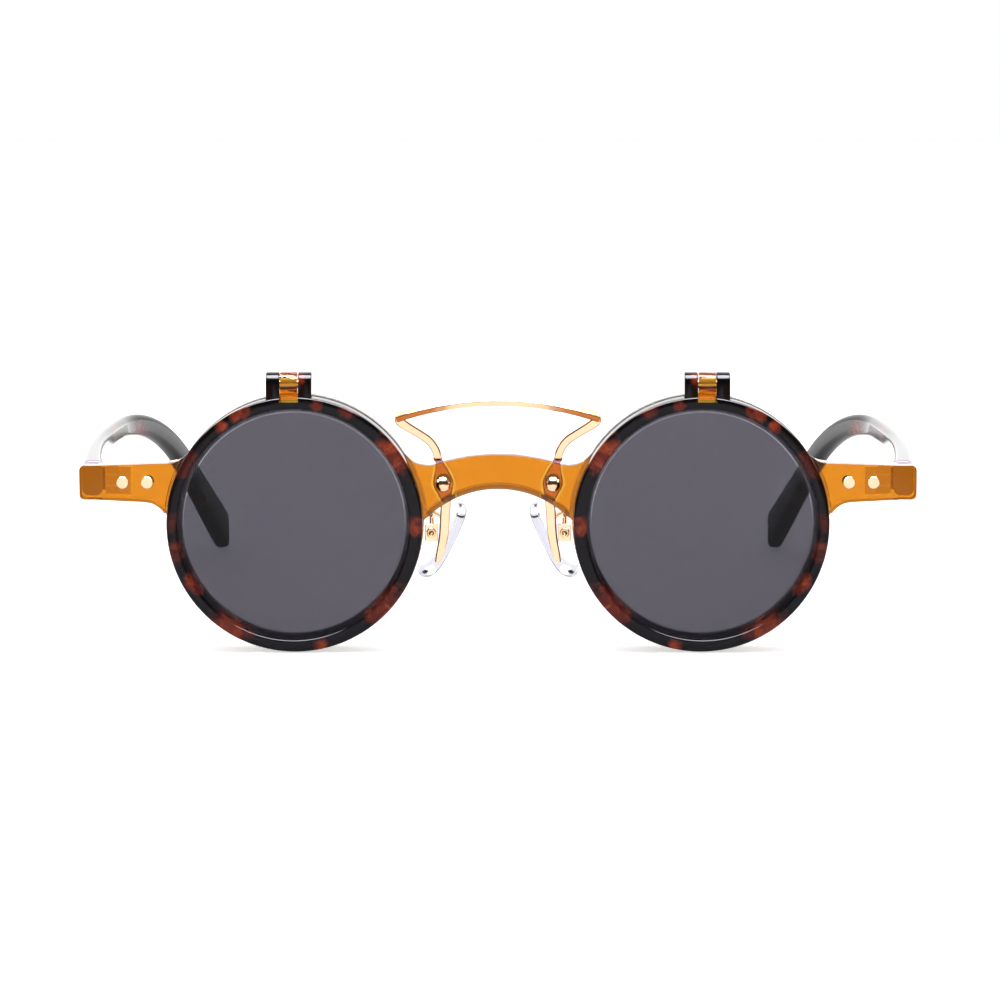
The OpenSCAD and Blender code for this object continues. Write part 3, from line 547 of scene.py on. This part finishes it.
def rounded_loop(half_w, half_h, corner, steps=5):
    for quarter, (sx, sz) in enumerate(((1, 1), (-1, 1), (-1, -1), (1, -1))):
        for k in range(steps + 1):
            turn = math.radians(90 * quarter + 90 * k / steps)
            u, v = sx * (half_w - corner), sz * (half_h - corner)
            yield u + corner * math.cos(turn), v + corner * math.sin(turn)


def temple_stations():
    """Distance behind the front end, and how far the outline is drawn in there."""
    for k in range(4):
        turn = math.radians(90 * k / 4)
        yield 0.3 * (1 - math.sin(turn)), 0.3 * (1 - math.cos(turn))
    length, tip = TEMPLE["reach"], 0.6
    for k in range(1, 66):
        yield (length - tip) * k / 65, 0.0
    for k in range(1, 7):
        turn = math.radians(90 * k / 6)
        yield length - tip + tip * math.sin(turn), tip * (1 - math.cos(turn))


# %% Skin the temples
def order_of(station):
    return station[0]


for side, word in ((1, "left"), (-1, "right")):
    build = bmesh.new()
    before = None
    for s, shrink in sorted(temple_stations(), key=order_of):
        outer, inner, upper, lower = temple_edges(s)
        middle_x, middle_z = (outer + inner) / 2, (upper + lower) / 2
        half_w, half_h = (outer - inner) / 2 - shrink, (upper - lower) / 2 - shrink
        corner = min(1.2, 0.92 * half_w, 0.92 * half_h)
        loop = [
            build.verts.new((middle_x + u, TEMPLE["y"] + s, middle_z + v))
            for u, v in rounded_loop(half_w, half_h, corner)
        ]
        ring = [build.edges.new((a, b)) for a, b in zip(loop, loop[1:] + loop[:1])]
        if before is None:
            build.faces.new(loop)
        else:
            bmesh.ops.bridge_loops(build, edges=before + ring)
        before = ring
    build.faces.new(loop)
    name = "temple_" + word
    temple = finish_piece("smooth_" + name, build, name, [name], tortoise, side, 60)
    print(temple.name, len(temple.data.polygons), "faces")

# %% [markdown]
# ## Flip rims
# The rim is a spun section: flat face, rounded outer edge, a rounded inner edge and a
# wall that narrows to the lens. Its opening sits a quarter of a millimetre outward of
# the rim's own centre, so the inner points are moved over after the spin. A box cut
# makes room for the amber knuckle, and two knuckles stand on either side of the cut.

# %% Flip rims
HINGE_X, HINGE_Y, HINGE_Z, BARREL_R = 34.75, -3.05, 44.9, 1.945
RIM_SECTION = (
    [(18.75, -0.12), (21.35, -0.12)]
    + arc(20.97, -4.92, 0.38, 0, 90)
    + arc(19.70, -4.98, 0.32, 90, 170)
    + [(19.20, -4.3), (18.78, -2.0), (18.75, -0.12)]
)


def cut_box(piece, low, high):
    build = bmesh.new()
    bmesh.ops.create_cube(build, size=1.0)
    for vertex in build.verts:
        for k in range(3):
            vertex.co[k] = low[k] if vertex.co[k] < 0 else high[k]
    mesh = bpy.data.meshes.new("cutter")
    build.to_mesh(mesh)
    build.free()
    cutter = bpy.data.objects.new("cutter", mesh)
    bpy.context.scene.collection.objects.link(cutter)
    cut = piece.modifiers.new("cut", "BOOLEAN")
    cut.object, cut.operation, cut.solver = cutter, "DIFFERENCE", "EXACT"
    result = bpy.data.meshes.new_from_object(piece.evaluated_get(bpy.context.evaluated_depsgraph_get()))
    piece.modifiers.clear()
    piece.data = result
    bpy.data.objects.remove(cutter)


def knuckle(build, x0, x1, foot, back, edge=0.16):
    """A barrel with a square foot, drawn in side view and pulled along x."""
    turns = [math.radians(180 + 180 * k / 20) for k in range(21)]
    outline = [(HINGE_Y + BARREL_R * math.cos(t), HINGE_Z - BARREL_R * math.sin(t)) for t in turns]
    outline += back + [(HINGE_Y - BARREL_R, foot)]
    face = build.faces.new([build.verts.new((x0, y, z)) for y, z in outline])
    pulled = bmesh.ops.extrude_face_region(build, geom=[face])["geom"]
    far_points = [v for v in pulled if isinstance(v, bmesh.types.BMVert)]
    bmesh.ops.translate(build, vec=(x1 - x0, 0, 0), verts=far_points)
    ends = [e for e in build.edges if e.is_valid and abs(e.verts[0].co.x - e.verts[1].co.x) < 1e-6]
    ends = [e for e in ends if {round(v.co.x, 4) for v in e.verts} & {round(x0, 4), round(x1, 4)}]
    bmesh.ops.bevel(build, geom=ends, offset=edge, segments=3, profile=0.5, affect="EDGES", material=-1)


for side, word in ((1, "left"), (-1, "right")):
    build = bmesh.new()
    lathe(build, 33.9, 21.45, RIM_SECTION, 180)
    for vertex in build.verts:
        if math.hypot(vertex.co.x - 33.9, vertex.co.z - 21.45) < 20.2:
            vertex.co.x += 0.25
    rim = finish_piece("smooth_rim_" + word, build, "flip_" + word, ["flip_rim_" + word], tortoise, side, 50)
    xs = sorted((side * (HINGE_X - 1.55) * 1e-3, side * (HINGE_X + 1.55) * 1e-3))
    cut_box(rim, (xs[0], -0.075, 0.04195), (xs[1], -0.060, 0.050))
    build = bmesh.new()
    for start in (-3.8, 1.55):
        knuckle(build, HINGE_X + start, HINGE_X + start + 2.25, 41.9, [(HINGE_Y + BARREL_R, 41.9)])
    finish_piece("rim_knuckles_" + word, build, "flip_" + word, ["flip_rim_" + word], tortoise, side)
    print(rim.name, len(rim.data.polygons), "faces")

# %% [markdown]
# ## Gold studs and rivets
# The bridge screws have a low dome, and the rivets at the ends are flat discs. A shaft
# runs back from each. The tails of the outer rivets lie deeper, behind the hinge.

# %% Studs and rivets
STUD_X, STUD_Z, STUD_R, STUD_RISE = 9.2, 27.9, 1.3, 0.75
OUTER_RIVET_X, INNER_RIVET_X, RIVET_Z = 62.8, 58.7, 28.2
build = bmesh.new()
for x in (-STUD_X, STUD_X):
    ball = (STUD_R**2 + STUD_RISE**2) / (2 * STUD_RISE)
    reach = math.degrees(math.asin(STUD_R / ball))
    dome = arc(0, ball - 2.75, ball, 90 - reach, 90, 12)
    lathe(build, x, STUD_Z, [(0, 3.6), (0.65, 3.6), (0.65, -2.0), (1.28, -2.0)] + dome)
finish_piece("studs", build, "front", ["bridge_screws"], gold)
build = bmesh.new()
for x in (OUTER_RIVET_X, INNER_RIVET_X, -OUTER_RIVET_X, -INNER_RIVET_X):
    back = 4.2 if abs(x) == OUTER_RIVET_X else 3.2
    head = [(0.6, -1.7), (1.0, -1.7), (1.0, -2.03), (0.95, -2.08), (0, -2.08)]
    tail = [(0, back + 0.3), (0.85, back + 0.3), (0.85, back), (0.6, back)]
    lathe(build, x, RIVET_Z, tail + head)
finish_piece("rivets", build, "front", ["end_rivets"], gold, 1, 10)

# %% [markdown]
# ## Brow bar
# The bar is a flat strip bowed in a plane that leans back, so its section is spun round
# a leaning axis. Each leg is one ribbon: it leaves the bar's end, sweeps inward, bends
# back over the bridge and drops behind it, widens to an eye at the screw and tapers to
# its end. The ribbon is skinned from station to station, like a temple.

# %% The bowed strip
BOW_R, BOW_TILT, BOW_HALF = 42.0, math.radians(33.7), math.radians(23.73)
bow_axis = Vector((0, math.cos(BOW_TILT), math.sin(BOW_TILT)))
bow_out = Vector((0, -math.sin(BOW_TILT), math.cos(BOW_TILT)))
bow_centre = Vector((0, -3.6, 41.2)) - BOW_R * bow_out
BAR_SECTION = [
    # depth and height; the front's upper corner is two flats
    (0.1, 0.0),
    (0.0, 0.1),
    (0.0, 0.78),
    (0.06, 0.93),
    (0.18, 1.04),
    (2.1, 1.57),
    (2.2, 1.5),
    (2.2, 0.4),
    (2.1, 0.3),
]
build = bmesh.new()
start = Matrix.Rotation(-BOW_HALF, 4, bow_axis)
section = []
for depth, height in BAR_SECTION:
    out = BOW_R - depth * math.sin(BOW_TILT) + height * math.cos(BOW_TILT)
    along_axis = depth * math.cos(BOW_TILT) + height * math.sin(BOW_TILT)
    section.append(build.verts.new(bow_centre + start @ (out * bow_out) + along_axis * bow_axis))
first = build.faces.new(section)
bmesh.ops.spin(
    build, geom=[first], cent=bow_centre, axis=bow_axis, angle=2 * BOW_HALF, steps=120, use_duplicate=False
)
print("strip:", len(build.faces), "faces")

# %% The two legs
LEG = [
    # side, height, width
    (16.75, 39.05, 1.0),
    (16.55, 38.6, 1.5),
    (16.0, 38.1, 1.6),
    (15.0, 37.45, 1.5),
    (13.3, 36.43, 1.4),
    (11.5, 35.18, 1.4),
    (10.4, 33.58, 1.4),
    (9.95, 31.93, 1.4),
    (9.75, 30.93, 1.5),
    (9.5, 29.8, 2.35),
    (9.2, 27.9, 3.4),
    (8.9, 26.1, 2.4),
    (8.7, 24.82, 1.7),
    (8.9, 23.0, 1.7),
    (9.15, 18.94, 1.6),
    (9.85, 15.72, 1.3),
    (10.3, 14.3, 0.8),
]
FRONT_Y, BACK_Y, SHELF_Z = -1.13, 2.2, 32.23


def smooth_path(points, steps):
    for i in range(len(points) - 1):
        p0, p1, p2, p3 = (Vector(points[max(0, min(len(points) - 1, i + k))]) for k in (-1, 0, 1, 2))
        for k in range(steps):
            t = k / steps
            yield p1 + t * (p2 - p0) / 2 + t * t * (p0 - 2.5 * p1 + 2 * p2 - p3 / 2) + t**3 * (
                1.5 * p1 - p0 / 2 - 1.5 * p2 + p3 / 2
            )
    yield Vector(points[-1])


def leg_stations():
    """Centre point and width, with the step back over the bridge put in."""
    turned = False
    for x, z, w in smooth_path(LEG, 6):
        if z > SHELF_Z + 0.5:
            yield Vector((x, FRONT_Y, z)), w
        elif not turned:
            turned = True
            for k in range(7):
                t = math.radians(15 * k)
                yield Vector((x, FRONT_Y + 0.5 - 0.5 * math.cos(t), SHELF_Z + 0.5 - 0.5 * math.sin(t))), w
            for k in range(7):
                t = math.radians(15 * k)
                yield Vector((x, BACK_Y - 0.5 + 0.5 * math.sin(t), SHELF_Z - 0.5 + 0.5 * math.cos(t))), w
        elif z < SHELF_Z - 0.55:
            yield Vector((x, BACK_Y, z)), w


stations = list(leg_stations())
for side in (1, -1):
    before = None
    for k, (centre, width) in enumerate(stations):
        ahead = (stations[min(k + 1, len(stations) - 1)][0] - stations[max(k - 1, 0)][0]).normalized()
        in_front_view = Vector((ahead.x, 0, min(ahead.z, -0.35))).normalized()
        wide = Vector((-in_front_view.z, 0, in_front_view.x))
        thick = ahead.cross(wide).normalized()
        loop = []
        for u, v in rounded_loop(width / 2, 0.5, 0.26, 3):
            point = centre + u * wide + v * thick
            loop.append(build.verts.new((side * point.x, point.y, point.z)))
        ring = [build.edges.new((a, b)) for a, b in zip(loop, loop[1:] + loop[:1])]
        if before is None:
            build.faces.new(loop)
        else:
            bmesh.ops.bridge_loops(build, edges=before + ring)
        before = ring
    build.faces.new(loop)
bar = finish_piece("bowed_bar", build, "front", ["brow_bar"], gold, 1, 14)
print(bar.name, len(bar.data.polygons), "faces")

# %% [markdown]
# ## Nose pads
# A pad is a soft clear pillow. Its outline is a long egg, and loops of that outline are
# stacked through its thickness, smaller toward both faces. The pad stands on the line
# from its box toward the nose, turned to face backward and leaning in at the top.

# %% Nose pads
SPLAY, LEAN = math.radians(34), math.radians(32)
BOX_X, BOX_Z = 11.3, 18.9
toward_nose = Vector((-math.cos(LEAN) * math.cos(SPLAY), math.cos(LEAN) * math.sin(SPLAY), -math.sin(LEAN)))
across = Vector((math.sin(SPLAY), math.cos(SPLAY), 0))
down = Vector((math.sin(LEAN) * math.cos(SPLAY), -math.sin(LEAN) * math.sin(SPLAY), -math.cos(LEAN)))
pad_middle = Vector((BOX_X, 6.3, BOX_Z)) + 3.1 * toward_nose - 0.4 * down + 0.9 * across
PAD_W, PAD_H = 7.0, 15.2
PAD_LAYERS = [
    # how far toward the nose, and how large the outline is there
    (-1.05, 0.55),
    (-0.95, 0.74),
    (-0.7, 0.9),
    (-0.3, 0.98),
    (0.1, 1.0),
    (0.5, 0.97),
    (0.85, 0.86),
    (1.05, 0.68),
    (1.15, 0.45),
]


def egg(scale, steps=48):
    for k in range(steps):
        turn = math.tau * k / steps
        low = 0.5 - 0.5 * math.sin(turn)
        half = PAD_W * (0.42 + 0.08 * low)
        straight = (PAD_H / 2 - PAD_W / 2) * math.tanh(3 * math.sin(turn))
        yield scale * half * math.cos(turn), scale * (straight + half * math.sin(turn))


for side, word in ((1, "left"), (-1, "right")):
    build = bmesh.new()
    before = None
    for depth, scale in PAD_LAYERS:
        layer = pad_middle + depth * toward_nose
        loop = [build.verts.new(layer + u * across - v * down) for u, v in egg(scale)]
        ring = [build.edges.new((a, b)) for a, b in zip(loop, loop[1:] + loop[:1])]
        if before is None:
            build.faces.new(loop)
        else:
            bmesh.ops.bridge_loops(build, edges=before + ring)
        before = ring
    build.faces.new(loop)
    stands_for = ["nose_pad_" + word, "pad_core_" + word]
    pad = finish_piece("soft_pad_" + word, build, "pad_" + word, stands_for, silicone, side, 60)

# %% [markdown]
# The screw of a pad box has a round raised head with a rim and a dished middle, which
# draws the small dark rings seen beside the bridge.

# %% Pad screws
build = bmesh.new()
for x in (BOX_X, -BOX_X):
    head = arc(0.62, 5.22, 0.23, 0, 90, 4) + [(0.5, 5.0), (0.42, 5.12), (0.3, 5.2), (0.14, 5.14), (0, 5.12)]
    lathe(build, x, BOX_Z, [(0, 7.2), (0.4, 7.2), (0.4, 5.4), (0.85, 5.4)] + head, 48)
finish_piece("pad_screw_heads", build, "front", ["pad_screws"], gold)

# %% [markdown]
# ## Floor, light and camera
# The glasses stand on a white table before a white wall. The floor is pale by its own
# colour, and a plain glow that only the eye sees lifts it to white up to the horizon. It
# still shows the soft shadow under the rims. Two brown cards are painted on the table in
# front and seen only in a mirror, a painted reflection which the ends of the gold bar
# show. In a mirror the back of the table is brighter too, another painted reflection.

# %% Floor
floor_mesh = bpy.data.meshes.new("floor")
build = bmesh.new()
bmesh.ops.create_grid(build, x_segments=1, y_segments=1, size=6.0)
build.to_mesh(floor_mesh)
build.free()
floor = bpy.data.objects.new("floor", floor_mesh)
bpy.context.scene.collection.objects.link(floor)
floor.location.z = cad_box[0].z - 0.00002
table_top = Finish("table_top", **{"Roughness": 0.6, "Specular IOR Level": 0.1})
table_x, table_y, _ = table_top.place()
mirrored = table_top.seen_in_a_mirror()
CARD_X, CARD_Y = (0.092, 0.106), (-0.08, -0.12)  # soft edges of the cards, in metres
# painted reflection: brown patches on the table, seen only in a mirror
painted_reflection_card = mirrored * table_x.size().ramp(*CARD_X) * table_y.ramp(*CARD_Y)
table_top.feed("Base Color", table_top.blend(painted_reflection_card, (0.8, 0.8, 0.8), (0.08, 0.03, 0.002)))
# painted reflection: the back of the table is brighter in a mirror
glow_level = table_top.seen_directly() * 0.6 + mirrored * table_y.ramp(0.05, 0.25) * 0.7
glow_colour = table_top.blend(painted_reflection_card, (1, 1, 1), (0.34, 0.1, 0.0))
glow = table_top.make("ShaderNodeEmission", Color=glow_colour, Strength=glow_level)
both = table_top.tree.nodes.new("ShaderNodeAddShader")
table_top.tree.links.new(table_top.shader.outputs[0], both.inputs[0])
table_top.tree.links.new(glow.outputs[0], both.inputs[1])
table_top.tree.links.new(both.outputs[0], table_top.output.inputs["Surface"])
floor_mesh.materials.append(table_top.material)

# %% [markdown]
# The walls are white behind the glasses. The side the camera stands on is dark, as in a
# photographer's room, and that draws the thin dark lines on gold and amber. A bright
# panel overhead is seen only in a mirror, and draws the thin light lines on the edges.

# %% World and lamps
world = bpy.data.worlds.new("studio")
bpy.context.scene.world = world
world.use_nodes = True
studio = Nodes(world.node_tree)
background = studio.tree.nodes["Background"]
background.inputs["Color"].default_value = (1, 1, 1, 1)
east, north, up = studio.split(studio.make("ShaderNodeTexCoord").outputs["Generated"])
dark_side = north.ramp(0.1, -0.35) * up.ramp(0.85, 0.55)
dark_wings = east.size().ramp(0.75, 0.95) * up.ramp(0.75, 0.4) * 0.7
gloom = dark_side.larger(dark_wings)
direct = studio.seen_directly()
mirrored = studio.seen_in_a_mirror()
walls = direct * (1.0 - gloom * (0.4 + 0.54 * mirrored)) + (1.0 - direct) * 0.65
ceiling = mirrored * (up.ramp(0.84, 0.86) * north.ramp(0.12, 0.06) * 50.0 + north.ramp(0.75, 0.95) * 0.7)
studio.plug(background.inputs["Strength"], walls + ceiling)


def softbox(name, place, aim, width, height, power):
    lamp = bpy.data.lights.new(name, "AREA")
    lamp.shape, lamp.size, lamp.size_y, lamp.energy = "RECTANGLE", width, height, power
    box = bpy.data.objects.new(name, lamp)
    bpy.context.scene.collection.objects.link(box)
    box.location = place
    box.rotation_euler = (Vector(aim) - Vector(place)).to_track_quat("-Z", "Y").to_euler()
    return box


softbox("back_light", (0, 0.6, 0.7), (0, 0, 0), 0.9, 0.5, 1.5)

# %% Camera
ELEVATION = math.radians(6.5)
DISTANCE = 0.6
PIXELS_PER_MM, PICTURE_WIDTH = 5.979, 1000.0
aim = Vector((0.0003345, -0.06635, 0.0253))
camera_data = bpy.data.cameras.new("camera")
camera_data.sensor_width = 36.0
camera_data.lens = 36.0 * PIXELS_PER_MM * 600.0 / PICTURE_WIDTH
camera_data.clip_start, camera_data.clip_end = 0.02, 30.0
camera = bpy.data.objects.new("camera", camera_data)
bpy.context.scene.collection.objects.link(camera)
camera.location = aim + DISTANCE * Vector((0, -math.cos(ELEVATION), math.sin(ELEVATION)))
camera.rotation_euler = (math.radians(90) - ELEVATION, 0, 0)
bpy.context.scene.camera = camera
bpy.context.scene.view_settings.view_transform = "Standard"
print("lens", round(camera_data.lens, 1), "mm")
